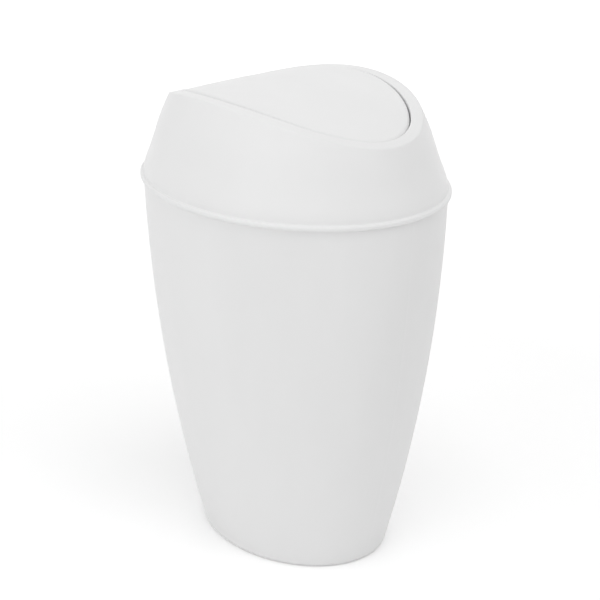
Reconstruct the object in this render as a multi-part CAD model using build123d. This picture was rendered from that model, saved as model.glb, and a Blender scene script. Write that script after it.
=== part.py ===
from build123d import *
from math import asin, degrees
import os

# Countertop swing-lid trash can: an oval tapered can, a lift-off hood and an arched swing door.
# Origin: centre of the base, on the surface that the can stands on.
# X runs along the long axis of the oval, Y along its short axis (front is -Y), Z is up.
# All sizes are millimetres; "half" sizes are semi-axes of the oval.

# ---------------------------------------------------------------- driving dimensions
# can
can_height = 167.8          # base to the top edge of the can
mouth_half_long = 73.6      # outside of the can at its mouth
mouth_half_short = 59.6
base_half_long = 48.2       # outside of the can at its base, before the edge is rounded
base_half_short = 37.1
mouth_flare = 0.17          # share of the can's taper that runs straight up to the mouth
can_wall = 1.8
can_floor = 2.4
base_edge_radius = 2.5
floor_edge_radius = 1.5     # inside, where the wall meets the floor
foot_ring_width = 5.0
foot_recess = 1.0
flank_sections = 7          # ovals that the curved flank passes through
overrun = 20.0              # how far a cutting shape runs past what it cuts

# rim of the hood, where it sits on the can
bead_reach = 1.5            # how far the bead stands outside the can's mouth
bead_above = 1.8            # bead above the can's top edge
bead_below = 0.4            # bead below the can's top edge
bead_radius = 0.9
bead_root_radius = 0.6      # hollow between the bead and the hood's side
rim_clearance = 0.4         # bead to the can's outside
collar_depth = 9.0
collar_clearance = 0.2      # collar to the can's inside, at the collar's foot
collar_wall = 1.6

# hood: height above the can's top edge, and how far the outside lies inside the mouth's oval there,
# along the long and the short axis
hood_wall = 2.0
hood_profile = [
    (0.0, 0.4, 0.4),
    (12.0, 3.3, 2.9),
    (24.0, 7.6, 6.8),
    (34.0, 12.2, 10.8),
    (40.0, 15.3, 13.6),
    (45.0, 18.0, 16.0),
    (49.0, 22.0, 19.5),
]
lip_crest_height = 42.0     # arched lip, at the middle of the long sides
lip_end_height = 28.7       # arched lip, at the two ends
lip_end_half_long = 63.9    # where the end height is measured
lip_thickness = 2.0
lip_edge_radius = 1.0       # outer edge of the lip
opening_edge_radius = 0.6   # edge of the opening that the door closes
opening_wall = 1.6          # wall that runs down from the lip, round the opening
opening_wall_depth = 4.0    # below the lip's surface

# swing door
door_half_long = 58.85
door_half_short = 38.65
door_gap = 0.45             # door to the hood's opening, all round
door_top_height = 43.4      # crown of the door above the can's top edge
door_arch_drop = 13.5       # fall of the door's surface from its middle to its ends
door_crown_drop = 0.8       # fall from its middle to its long sides
door_skin = 1.8
door_skirt_depth = 4.0
door_skirt_wall = 1.6
door_edge_radius = 2.4

# liner under the door, with the trough for the counterweight
liner_wall = 1.3
liner_side_clearance = 0.3
stake_diameter = 3.6
stake_head_diameter = 6.6
stake_head_thickness = 0.9
stake_clearance = 0.2
stake_root = 0.9            # how far a stake runs up into the door's skin
stake_end_inset = 19.0      # single stakes, from the door's ends
stake_side_inset = 19.5     # paired stakes, from the door's long sides
stake_pair_half_spacing = 24.0

# counterweight
bar_width = 12.0
bar_height = 9.0
bar_bottom_height = 18.5    # above the can's top edge
bar_clearance = 0.3
trough_wall = 1.4
trough_end_gap = 3.0        # trough to the pivot lugs
trough_corner_radius = 2.0
trough_floor_radius = 1.0

# pivots
pivot_height = 31.5         # axis above the can's top edge
pin_diameter = 3.5
pin_fit = 0.05              # radial, pin in lug and in bush
pin_chamfer = 0.4
lug_thickness = 4.0
lug_radius = 4.8
lug_inset = 2.0             # lug's outer face inside the door's long side
bush_outer_diameter = 6.0
bush_flange_diameter = 8.4
bush_flange_thickness = 1.0
bush_length = 3.4           # body, without the flange
bush_fit = 0.05             # radial, bush in the hood's boss
boss_diameter = 9.4
boss_setback = 0.9          # boss face outside the hood's opening
boss_web_thickness = 3.6    # web that hangs the boss from the lip
pin_end_gap = 0.3           # end of the pin to the end of the bush

# ---------------------------------------------------------------- derived places
rim_z = can_height
pivot_z = rim_z + pivot_height
door_top_z = rim_z + door_top_height
opening_half_long = door_half_long + door_gap
opening_half_short = door_half_short + door_gap
liner_top_depth = door_skirt_depth - liner_wall
liner_inset = door_skirt_wall + liner_side_clearance
lug_outer_y = door_half_short - lug_inset
lug_inner_y = lug_outer_y - lug_thickness
boss_face_y = opening_half_short + boss_setback
bush_end_y = boss_face_y + bush_length
pin_end_y = bush_end_y - pin_end_gap
bar_bottom_z = rim_z + bar_bottom_height
trough_half_length = lug_inner_y - trough_end_gap - trough_wall
bar_half_length = trough_half_length - bar_clearance
trough_half_width = bar_width / 2 + bar_clearance
stake_head_depth = door_skirt_depth + stake_clearance
stake_end_depth = stake_head_depth + stake_head_thickness
stake_end_x = door_half_long - stake_end_inset
stake_side_y = door_half_short - stake_side_inset
stake_places = [(side * stake_end_x, 0) for side in (-1, 1)]
stake_places += [(x * stake_pair_half_spacing, y * stake_side_y) for x in (-1, 1) for y in (-1, 1)]


def arc_radius(half_chord, drop):
    """Radius of the arc that falls by drop over half_chord from its crown."""
    return (half_chord ** 2 + drop ** 2) / (2 * drop)


lip_arch_radius = arc_radius(lip_end_half_long, lip_crest_height - lip_end_height)
door_arch_radius = arc_radius(door_half_long, door_arch_drop)
door_crown_radius = arc_radius(door_half_short, door_crown_drop)
door_arch_axis = Axis((0, 0, door_top_z - door_arch_radius), (0, 1, 0))


# ---------------------------------------------------------------- shared shapes
def oval(half_long, half_short, z):
    return Pos(0, 0, z) * Ellipse(half_long, half_short)


def oval_column(half_long, half_short, z_low, z_high):
    return extrude(oval(half_long, half_short, z_low), amount=z_high - z_low)


def y_cylinder(diameter, y_start, y_end, z):
    """Cylinder along Y between two stations, on the plane X = 0."""
    middle = Pos(0, (y_start + y_end) / 2, z)
    return middle * Rot(90, 0, 0) * Cylinder(diameter / 2, abs(y_end - y_start))


def block(x_half, y_low, y_high, z_low, z_high):
    middle = Pos(0, (y_low + y_high) / 2, (z_low + z_high) / 2)
    return middle * Box(2 * x_half, y_high - y_low, z_high - z_low)


def flank_half(base_half, mouth_half, share):
    """Semi-axis of the can at a share of its height: a parabola that still flares a little at the mouth."""
    below_mouth = 1 - share
    taper = below_mouth * (mouth_flare + (1 - mouth_flare) * below_mouth)
    return mouth_half - (mouth_half - base_half) * taper


def can_form(inset):
    """Solid inside the can's flank, moved in by inset, from the base to the top edge."""
    sections = []
    for index in range(flank_sections):
        share = index / (flank_sections - 1)
        half_long = flank_half(base_half_long, mouth_half_long, share) - inset
        half_short = flank_half(base_half_short, mouth_half_short, share) - inset
        sections.append(oval(half_long, half_short, share * can_height))
    return loft(sections)


def collar_column(inset, z_low, z_high):
    """Column with the collar's outline, moved in by inset: it clears the can's wall at the collar's foot."""
    share = 1 - collar_depth / can_height
    total_inset = can_wall + collar_clearance + inset
    half_long = flank_half(base_half_long, mouth_half_long, share) - total_inset
    half_short = flank_half(base_half_short, mouth_half_short, share) - total_inset
    return oval_column(half_long, half_short, z_low, z_high)


def hood_form(inset):
    """Solid inside the hood's domed wall, moved in by inset."""
    sections = []
    for height, taper_long, taper_short in hood_profile:
        half_long = mouth_half_long - taper_long - inset
        half_short = mouth_half_short - taper_short - inset
        sections.append(oval(half_long, half_short, rim_z + height))
    return loft(sections)


def under_lip_arch(depth):
    """Everything below the arched surface that cuts the hood's top, lowered by depth."""
    diameter = 2 * (lip_arch_radius - depth)
    reach = mouth_half_short + overrun
    return y_cylinder(diameter, -reach, reach, rim_z + lip_crest_height - lip_arch_radius)


def opening_column(outset):
    """Upright column through the hood's opening, moved out by outset, above the can's top edge."""
    top_z = rim_z + lip_crest_height + overrun
    return oval_column(opening_half_long + outset, opening_half_short + outset, rim_z, top_z)


def door_layer(top_depth, bottom_depth):
    """Layer of the door between two depths below its crowned and arched outside."""
    reach = door_half_short + overrun
    centre_z = door_top_z - door_crown_radius
    outer = door_crown_radius - top_depth
    inner = door_crown_radius - bottom_depth
    outer_side = centre_z + (outer ** 2 - reach ** 2) ** 0.5
    inner_side = centre_z + (inner ** 2 - reach ** 2) ** 0.5
    upper = ThreePointArc((0, -reach, outer_side), (0, 0, centre_z + outer), (0, reach, outer_side))
    lower = ThreePointArc((0, -reach, inner_side), (0, 0, centre_z + inner), (0, reach, inner_side))
    front = Line((0, -reach, outer_side), (0, -reach, inner_side))
    rear = Line((0, reach, outer_side), (0, reach, inner_side))
    return revolve(make_face([upper, lower, front, rear]), axis=door_arch_axis)


def door_column(inset):
    """Upright column with the door's outline, moved in by inset, above the can's top edge."""
    return oval_column(door_half_long - inset, door_half_short - inset, rim_z, door_top_z + overrun)


def at_stake(x, y, thing):
    """Turn a thing built on the door's middle line, about the arch's axis, out to a stake's place."""
    angle = degrees(asin(x / door_arch_radius))
    arch_centre = Pos(door_arch_axis.position)
    return arch_centre * Rot(0, angle, 0) * arch_centre.inverse() * Pos(0, y, 0) * thing


def stake_post(diameter, top_depth, bottom_depth, y):
    """Upright round post between two depths under the door's outside, at X = 0."""
    crown_fall = door_crown_radius - (door_crown_radius ** 2 - y ** 2) ** 0.5
    top = door_top_z - crown_fall - top_depth
    length = bottom_depth - top_depth
    return Pos(0, 0, top - length / 2) * Cylinder(diameter / 2, length)


# ---------------------------------------------------------------- sub-parts
def make_can_body():
    body = can_form(0)
    base_edges = body.edges().group_by(Axis.Z)[0]
    body = fillet(base_edges, base_edge_radius)
    hollow = can_form(can_wall) - oval_column(mouth_half_long, mouth_half_short, 0, can_floor)
    hollow = fillet(hollow.edges().group_by(Axis.Z)[0], floor_edge_radius)
    recess = oval_column(base_half_long - foot_ring_width, base_half_short - foot_ring_width, 0, foot_recess)
    return body - hollow - recess


def make_hood_bead():
    """Rounded rim that covers the can's top edge, and the flat ring that rests on it."""
    bead_long = mouth_half_long + bead_reach
    bead_short = mouth_half_short + bead_reach
    bead = oval_column(bead_long, bead_short, rim_z - bead_below, rim_z + bead_above)
    bead = fillet(bead.edges().filter_by(GeomType.ELLIPSE), bead_radius)
    bead -= oval_column(mouth_half_long + rim_clearance, mouth_half_short + rim_clearance, 0, rim_z)
    return bead - collar_column(collar_wall, 0, rim_z + bead_above)


def make_hood_collar():
    """Collar that drops inside the can's mouth."""
    z_low = rim_z - collar_depth
    z_high = rim_z + bead_above
    return collar_column(0, z_low, z_high) - collar_column(collar_wall, z_low, z_high)


def make_pivot_boss(side):
    """Boss for a pivot bush, buried to half the hood's wall; side is -1 at the front and 1 at the rear."""
    boss = y_cylinder(boss_diameter, side * boss_face_y, side * mouth_half_short, pivot_z)
    y_low, y_high = sorted((side * boss_face_y, side * mouth_half_short))
    boss += block(boss_web_thickness / 2, y_low, y_high, pivot_z, rim_z + lip_crest_height)
    return boss & hood_form(hood_wall / 2) & under_lip_arch(lip_thickness / 2)


def make_lid_hood():
    hood = hood_form(0) & under_lip_arch(0)
    opening = opening_column(0)
    hood -= opening
    hood = fillet(hood.faces().filter_by(GeomType.CYLINDER)[0].outer_wire().edges(), lip_edge_radius)
    hood = fillet(hood.faces().filter_by(GeomType.CYLINDER)[0].inner_wires()[0].edges(), opening_edge_radius)
    hollow = hood_form(hood_wall) & under_lip_arch(lip_thickness)
    hood -= hollow - (opening_column(opening_wall) - under_lip_arch(opening_wall_depth))
    hood += make_hood_bead()
    bead_top = rim_z + bead_above
    bead_top_edges = hood.edges().filter_by_position(Axis.Z, bead_top, bead_top).sort_by(SortBy.LENGTH)
    side_foot = bead_top_edges[-2]      # the longest is the bead's own edge, outside it
    hood = fillet(side_foot, bead_root_radius)
    hood += make_hood_collar()
    socket_diameter = bush_outer_diameter + 2 * bush_fit
    socket_end_y = bush_end_y + pin_end_gap
    for side in (-1, 1):
        hood += make_pivot_boss(side) - opening
        hood -= y_cylinder(socket_diameter, side * opening_half_short, side * socket_end_y, pivot_z)
    return hood


def make_swing_door():
    """Outer skin of the door, with its skirt and the posts that stake the liner on."""
    door = door_layer(0, door_skirt_depth) & door_column(0)
    door = fillet(door.faces().sort_by(Axis.Z)[-1].edges(), door_edge_radius)
    door -= door_layer(door_skin, door_skirt_depth + overrun) & door_column(door_skirt_wall)
    for x, y in stake_places:
        post = stake_post(stake_diameter, door_skin - stake_root, stake_end_depth, y)
        head = stake_post(stake_head_diameter, stake_head_depth, stake_end_depth, y)
        head = fillet(head.edges().group_by(Axis.Z)[0], stake_head_thickness / 2)
        door += at_stake(x, y, post + head)
    return door


def make_lug(side):
    y_low, y_high = sorted((side * lug_inner_y, side * lug_outer_y))
    lug = y_cylinder(2 * lug_radius, y_low, y_high, pivot_z)
    return lug + block(lug_radius, y_low, y_high, pivot_z, door_top_z)


def make_door_liner():
    """Inner moulding of the door: plate, two pivot lugs and the trough for the counterweight."""
    liner = door_layer(liner_top_depth, door_skirt_depth) & door_column(liner_inset)
    outer_half_width = trough_half_width + trough_wall
    outer_half_length = trough_half_length + trough_wall
    trough_bottom = bar_bottom_z - trough_wall
    trough = block(outer_half_width, -outer_half_length, outer_half_length, trough_bottom, door_top_z)
    trough = fillet(trough.edges().filter_by(Axis.Z), trough_corner_radius)
    trough = fillet(trough.edges().group_by(Axis.Z)[0], trough_floor_radius)
    under_plate = door_layer(liner_top_depth, door_top_height) & door_column(liner_inset)
    for hanging in (trough, make_lug(-1), make_lug(1)):
        liner += hanging & under_plate
    liner -= block(trough_half_width, -trough_half_length, trough_half_length, bar_bottom_z, door_top_z)
    for side in (-1, 1):
        liner -= y_cylinder(pin_diameter + 2 * pin_fit, side * lug_inner_y, side * lug_outer_y, pivot_z)
    for x, y in stake_places:
        hole = stake_post(stake_diameter + 2 * stake_clearance, 0, door_skirt_depth + overrun, y)
        liner -= at_stake(x, y, hole)
    return liner


def make_counterweight_bar():
    return block(bar_width / 2, -bar_half_length, bar_half_length, bar_bottom_z, bar_bottom_z + bar_height)


def make_pivot_pin(side):
    pin = y_cylinder(pin_diameter, side * lug_inner_y, side * pin_end_y, pivot_z)
    return chamfer(pin.edges().filter_by(GeomType.CIRCLE), pin_chamfer)


def make_pivot_bush(side):
    flange_y = boss_face_y - bush_flange_thickness
    bush = y_cylinder(bush_outer_diameter, side * boss_face_y, side * bush_end_y, pivot_z)
    bush += y_cylinder(bush_flange_diameter, side * flange_y, side * boss_face_y, pivot_z)
    return bush - y_cylinder(pin_diameter + 2 * pin_fit, 0, side * mouth_half_short, pivot_z)


def write(name, shape):
    shape.label = name
    export_step(shape, "parts/" + name + ".step")


os.makedirs("parts", exist_ok=True)
write("can_body", make_can_body())
write("lid_hood", make_lid_hood())
write("swing_door", make_swing_door())
write("door_liner", make_door_liner())
write("counterweight_bar", make_counterweight_bar())
for place, side in (("front", -1), ("rear", 1)):
    write("pivot_pin_" + place, make_pivot_pin(side))
    write("pivot_bush_" + place, make_pivot_bush(side))
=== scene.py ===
from math import cos, radians, sin

import bpy
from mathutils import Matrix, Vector

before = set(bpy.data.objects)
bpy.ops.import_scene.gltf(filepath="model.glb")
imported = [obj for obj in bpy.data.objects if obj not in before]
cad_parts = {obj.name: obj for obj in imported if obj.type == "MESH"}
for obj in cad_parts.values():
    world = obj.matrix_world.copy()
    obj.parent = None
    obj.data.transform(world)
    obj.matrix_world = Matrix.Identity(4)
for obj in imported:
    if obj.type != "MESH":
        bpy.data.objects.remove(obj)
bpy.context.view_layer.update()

# Countertop swing-lid trash can. Everything is in metres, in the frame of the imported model.

# ---------------------------------------------------------------- camera
VIEW_TURN = 48.78           # degrees from -Y towards +X, seen from above
VIEW_PITCH = 21.67          # degrees down
VIEW_DISTANCE = 0.738       # from the aimed-at point
AIM_HEIGHT = 0.1113
AIM_SIDE = 0.0029           # to the right of the can's middle
LENS = 99.0                 # in millimetres, like the sensor
SENSOR = 36.0


def face(thing, aim, turn, pitch, distance):
    """Put a camera or lamp in the scene, looking down at the point aim from a turn and pitch in degrees."""
    turned, pitched = radians(turn), radians(pitch)
    forward = Vector((-sin(turned) * cos(pitched), cos(turned) * cos(pitched), -sin(pitched)))
    thing.location = aim - forward * distance
    thing.rotation_euler = forward.to_track_quat("-Z", "Y").to_euler()
    bpy.context.scene.collection.objects.link(thing)


def make_camera():
    data = bpy.data.cameras.new("camera")
    data.lens = LENS
    data.sensor_width = SENSOR
    camera = bpy.data.objects.new("camera", data)
    right = Vector((cos(radians(VIEW_TURN)), sin(radians(VIEW_TURN)), 0))
    aim = right * AIM_SIDE + Vector((0, 0, AIM_HEIGHT))
    face(camera, aim, VIEW_TURN, VIEW_PITCH, VIEW_DISTANCE)
    bpy.context.scene.camera = camera


# ---------------------------------------------------------------- node helpers
NOISE_LOW = 0.3             # nearly all of a noise's values lie between these
NOISE_HIGH = 0.7


class Nodes:
    """Short ways to add and join nodes in one material's tree."""

    def __init__(self, name):
        self.material = bpy.data.materials.new(name)
        self.material.use_nodes = True
        self.tree = self.material.node_tree
        self.tree.nodes.clear()
        self.output = self.tree.nodes.new("ShaderNodeOutputMaterial")
        self.place = self.tree.nodes.new("ShaderNodeTexCoord").outputs["Object"]

    def add(self, kind, **settings):
        node = self.tree.nodes.new(kind)
        for name, value in settings.items():
            setattr(node, name, value)
        return node

    def join(self, start, end):
        self.tree.links.new(start, end)

    def noise(self, size, detail, stretch=(1, 1, 1)):
        """Noise whose features are about size metres across, and longer where stretch is under 1."""
        mapping = self.add("ShaderNodeMapping")
        mapping.inputs["Scale"].default_value = stretch
        self.join(self.place, mapping.inputs["Vector"])
        noise = self.add("ShaderNodeTexNoise")
        noise.inputs["Scale"].default_value = 1 / size
        noise.inputs["Detail"].default_value = detail
        self.join(mapping.outputs["Vector"], noise.inputs["Vector"])
        return noise.outputs["Fac"]

    def map_range(self, value, from_low, from_high, low, high):
        """Takes from_low..from_high to low..high, and what lies outside to the nearer end."""
        ranger = self.add("ShaderNodeMapRange")
        ranger.inputs["From Min"].default_value = from_low
        ranger.inputs["From Max"].default_value = from_high
        ranger.inputs["To Min"].default_value = low
        ranger.inputs["To Max"].default_value = high
        self.join(value, ranger.inputs["Value"])
        return ranger.outputs["Result"]

    def spread(self, noise, low, high):
        """Takes a noise's usual values to low..high."""
        return self.map_range(noise, NOISE_LOW, NOISE_HIGH, low, high)

    def blend(self, value, low, high):
        """Colour between two colours."""
        mix = self.add("ShaderNodeMix", data_type="RGBA")
        mix.inputs["A"].default_value = (*low, 1)
        mix.inputs["B"].default_value = (*high, 1)
        self.join(value, mix.inputs["Factor"])
        return mix.outputs["Result"]

    def bump(self, height, depth, base=None):
        bump = self.add("ShaderNodeBump")
        bump.inputs["Strength"].default_value = 1.0
        bump.inputs["Distance"].default_value = depth
        self.join(height, bump.inputs["Height"])
        if base is not None:
            self.join(base, bump.inputs["Normal"])
        return bump.outputs["Normal"]


def scaled(colour, factor):
    return tuple(channel * factor for channel in colour)


# ---------------------------------------------------------------- materials
WHITE = (0.85, 0.85, 0.85)
LINER_WHITE = scaled(WHITE, 0.97)
ACETAL = (0.74, 0.71, 0.64)
STEEL = (0.62, 0.62, 0.63)
DULL_STEEL = scaled(STEEL, 0.8)

PLASTIC_IOR = 1.49
CLOUD_SIZE = 0.035          # flow clouds in the plastic's colour
CLOUD_DARK = 0.985
CLOUD_LIGHT = 1.01
GLOSS_SIZE = 0.006          # patches of uneven gloss
GLOSS_SPREAD = 0.05
SWELL_SIZE = 0.02           # slow swell under the orange peel
SWELL_SHARE = 3             # its depth for each unit of the peel's

PATCH_SIZE = 0.004          # duller patches on the steel
PATCH_DARK = 0.85
LINE_SIZE = 0.0003          # draw lines, across the draw
LINE_DEPTH = 0.000005
LINE_STRETCH = (1, 0.04, 1) # the draw runs along Y
LINE_GLOSS_SPREAD = 0.08


def moulded_plastic(name, colour, roughness, flow_stretch=(1, 1, 1), peel_size=0.0007, peel_depth=0.00001):
    """Opaque injection-moulded plastic: faint flow clouds, a fine orange-peel surface and uneven gloss."""
    nodes = Nodes(name)
    shader = nodes.add("ShaderNodeBsdfPrincipled")
    shader.inputs["IOR"].default_value = PLASTIC_IOR
    clouds = nodes.spread(nodes.noise(CLOUD_SIZE, detail=3, stretch=flow_stretch), 0, 1)
    tint = nodes.blend(clouds, scaled(colour, CLOUD_DARK), scaled(colour, CLOUD_LIGHT))
    nodes.join(tint, shader.inputs["Base Color"])
    gloss_noise = nodes.noise(GLOSS_SIZE, detail=4)
    gloss = nodes.spread(gloss_noise, roughness - GLOSS_SPREAD, roughness + GLOSS_SPREAD)
    nodes.join(gloss, shader.inputs["Roughness"])
    swell = nodes.bump(nodes.noise(SWELL_SIZE, detail=1), peel_depth * SWELL_SHARE)
    peel = nodes.bump(nodes.noise(peel_size, detail=2), peel_depth, swell)
    nodes.join(peel, shader.inputs["Normal"])
    nodes.join(shader.outputs["BSDF"], nodes.output.inputs["Surface"])
    return nodes.material


def drawn_steel(name, colour, roughness):
    """Bright drawn steel: fine lines along the draw and duller patches."""
    nodes = Nodes(name)
    shader = nodes.add("ShaderNodeBsdfPrincipled")
    shader.inputs["Metallic"].default_value = 1.0
    patches = nodes.spread(nodes.noise(PATCH_SIZE, detail=3), 0, 1)
    nodes.join(nodes.blend(patches, scaled(colour, PATCH_DARK), colour), shader.inputs["Base Color"])
    lines = nodes.noise(LINE_SIZE, detail=3, stretch=LINE_STRETCH)
    gloss = nodes.spread(lines, roughness - LINE_GLOSS_SPREAD, roughness + LINE_GLOSS_SPREAD)
    nodes.join(gloss, shader.inputs["Roughness"])
    nodes.join(nodes.bump(lines, LINE_DEPTH), shader.inputs["Normal"])
    nodes.join(shader.outputs["BSDF"], nodes.output.inputs["Surface"])
    return nodes.material


def dress(node, material):
    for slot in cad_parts[node].material_slots:
        slot.material = material


def make_materials():
    dress("can_body", moulded_plastic("can_white", WHITE, roughness=0.45, flow_stretch=(1, 1, 0.4)))
    dress("lid_hood", moulded_plastic("hood_white", WHITE, roughness=0.42, flow_stretch=(1, 1, 0.6)))
    dress("swing_door", moulded_plastic("door_white", WHITE, roughness=0.42, flow_stretch=(0.6, 1, 1)))
    dress("door_liner", moulded_plastic("liner_white", LINER_WHITE, roughness=0.5, flow_stretch=(0.6, 1, 1)))
    bush = moulded_plastic("acetal", ACETAL, roughness=0.35, peel_size=0.0005, peel_depth=0.000005)
    dress("pivot_bush_front", bush)
    dress("pivot_bush_rear", bush)
    pin = drawn_steel("pin_steel", STEEL, roughness=0.3)
    dress("pivot_pin_front", pin)
    dress("pivot_pin_rear", pin)
    dress("counterweight_bar", drawn_steel("bar_steel", DULL_STEEL, roughness=0.42))


# ---------------------------------------------------------------- floor, world and lamps
FLOOR_SIZE = 6.0
FLOOR_GREY = 0.95
MOTTLE_SIZE = 0.3
MOTTLE_DARK = 0.99
FLOOR_LIFT = 0.19           # glow where the floor is seen directly, so that it is white outside the shadow
FAR_LIFT = 0.70             # the same, where the lamps no longer reach
NEAR_FLOOR = 0.25           # distances from the can between which the one turns into the other
FAR_FLOOR = 1.4
WORLD_LIGHT = 0.56          # what the world gives as light; it is seen directly as plain white
LAMP_DISTANCE = 1.6
LAMP_SIZE = 1.0


def seen_directly(tree):
    """1 where a ray comes from the camera, a mirror or clear glass, or else 0."""
    path = tree.nodes.new("ShaderNodeLightPath")
    most = path.outputs["Is Camera Ray"]
    for name in ("Is Glossy Ray", "Is Transmission Ray"):
        larger = tree.nodes.new("ShaderNodeMath")
        larger.operation = "MAXIMUM"
        tree.links.new(most, larger.inputs[0])
        tree.links.new(path.outputs[name], larger.inputs[1])
        most = larger.outputs[0]
    return most


def floor_material():
    nodes = Nodes("floor_white")
    diffuse = nodes.add("ShaderNodeBsdfDiffuse")
    mottle = nodes.spread(nodes.noise(MOTTLE_SIZE, detail=2), 0, 1)
    grey = (FLOOR_GREY,) * 3
    nodes.join(nodes.blend(mottle, scaled(grey, MOTTLE_DARK), grey), diffuse.inputs["Color"])
    distance = nodes.add("ShaderNodeVectorMath", operation="LENGTH")
    nodes.join(nodes.place, distance.inputs[0])
    white = nodes.map_range(distance.outputs["Value"], NEAR_FLOOR, FAR_FLOOR, FLOOR_LIFT, FAR_LIFT)
    lift = nodes.add("ShaderNodeMath", operation="MULTIPLY")
    nodes.join(seen_directly(nodes.tree), lift.inputs[0])
    nodes.join(white, lift.inputs[1])
    glow = nodes.add("ShaderNodeEmission")
    nodes.join(lift.outputs[0], glow.inputs["Strength"])
    total = nodes.add("ShaderNodeAddShader")
    nodes.join(diffuse.outputs["BSDF"], total.inputs[0])
    nodes.join(glow.outputs["Emission"], total.inputs[1])
    nodes.join(total.outputs["Shader"], nodes.output.inputs["Surface"])
    return nodes.material


def make_floor():
    bpy.ops.mesh.primitive_plane_add(size=FLOOR_SIZE)
    floor = bpy.context.object
    floor.name = "floor"
    floor.data.materials.append(floor_material())


def make_world():
    world = bpy.data.worlds.new("studio")
    world.use_nodes = True
    bpy.context.scene.world = world
    tree = world.node_tree
    background = tree.nodes["Background"]
    background.inputs["Color"].default_value = (1, 1, 1, 1)
    strength = tree.nodes.new("ShaderNodeMapRange")
    strength.inputs["To Min"].default_value = WORLD_LIGHT
    strength.inputs["To Max"].default_value = 1.0
    tree.links.new(seen_directly(tree), strength.inputs["Value"])
    tree.links.new(strength.outputs["Result"], background.inputs["Strength"])


def soft_lamp(name, turn, pitch, power):
    """Square area lamp that faces the can, and lights it without being seen itself or mirrored."""
    data = bpy.data.lights.new(name, "AREA")
    data.size = LAMP_SIZE
    data.energy = power
    lamp = bpy.data.objects.new(name, data)
    lamp.visible_camera = False
    lamp.visible_glossy = False
    face(lamp, Vector((0, 0, AIM_HEIGHT)), turn, pitch, LAMP_DISTANCE)


def make_lamps():
    soft_lamp("top", turn=VIEW_TURN + 20, pitch=70, power=6.3)
    soft_lamp("front", turn=VIEW_TURN - 45, pitch=15, power=3.6)
    soft_lamp("left", turn=VIEW_TURN - 80, pitch=45, power=1.6)
    soft_lamp("right", turn=VIEW_TURN + 60, pitch=45, power=1.6)
    soft_lamp("back", turn=VIEW_TURN + 175, pitch=30, power=2.0)


make_materials()
make_floor()
make_world()
make_lamps()
make_camera()
bpy.context.scene.view_settings.view_transform = "Standard"
